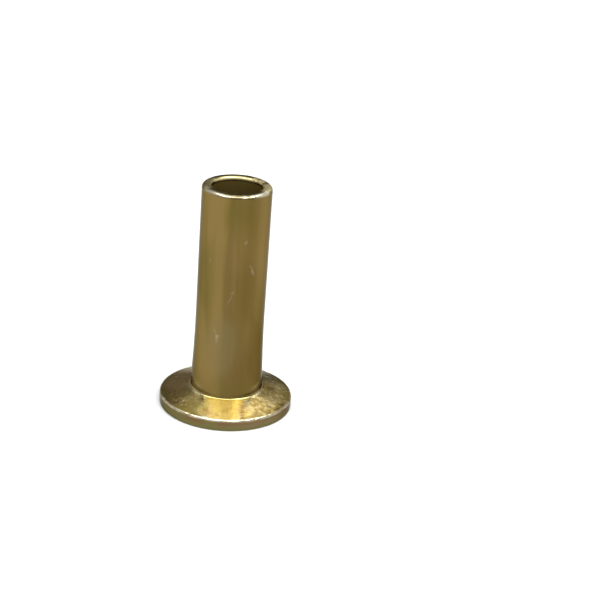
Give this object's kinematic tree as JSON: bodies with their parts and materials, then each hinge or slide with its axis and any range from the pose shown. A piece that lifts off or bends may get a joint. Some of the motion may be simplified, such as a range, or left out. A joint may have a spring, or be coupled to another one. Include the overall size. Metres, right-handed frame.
{
  "type": "hollow rivet",
  "caption": "Hollow rivet: open tubular shank with a wide, thin head whose flat face has a stepped mouth and whose back is a shallow cone.",
  "frame": {"origin": "centre of the head's flat face, on which the rivet stands", "axes": "+Z along the rivet's axis, from the head to the open tail; X and Y are any two directions square to it"},
  "size_m": [0.0116, 0.0116, 0.0203],
  "materials": {
    "yellow_passivated_steel": "satin"
  },
  "bodies": {
    "root": {"hollow_rivet": "yellow_passivated_steel"}
  },
  "joints": []
}
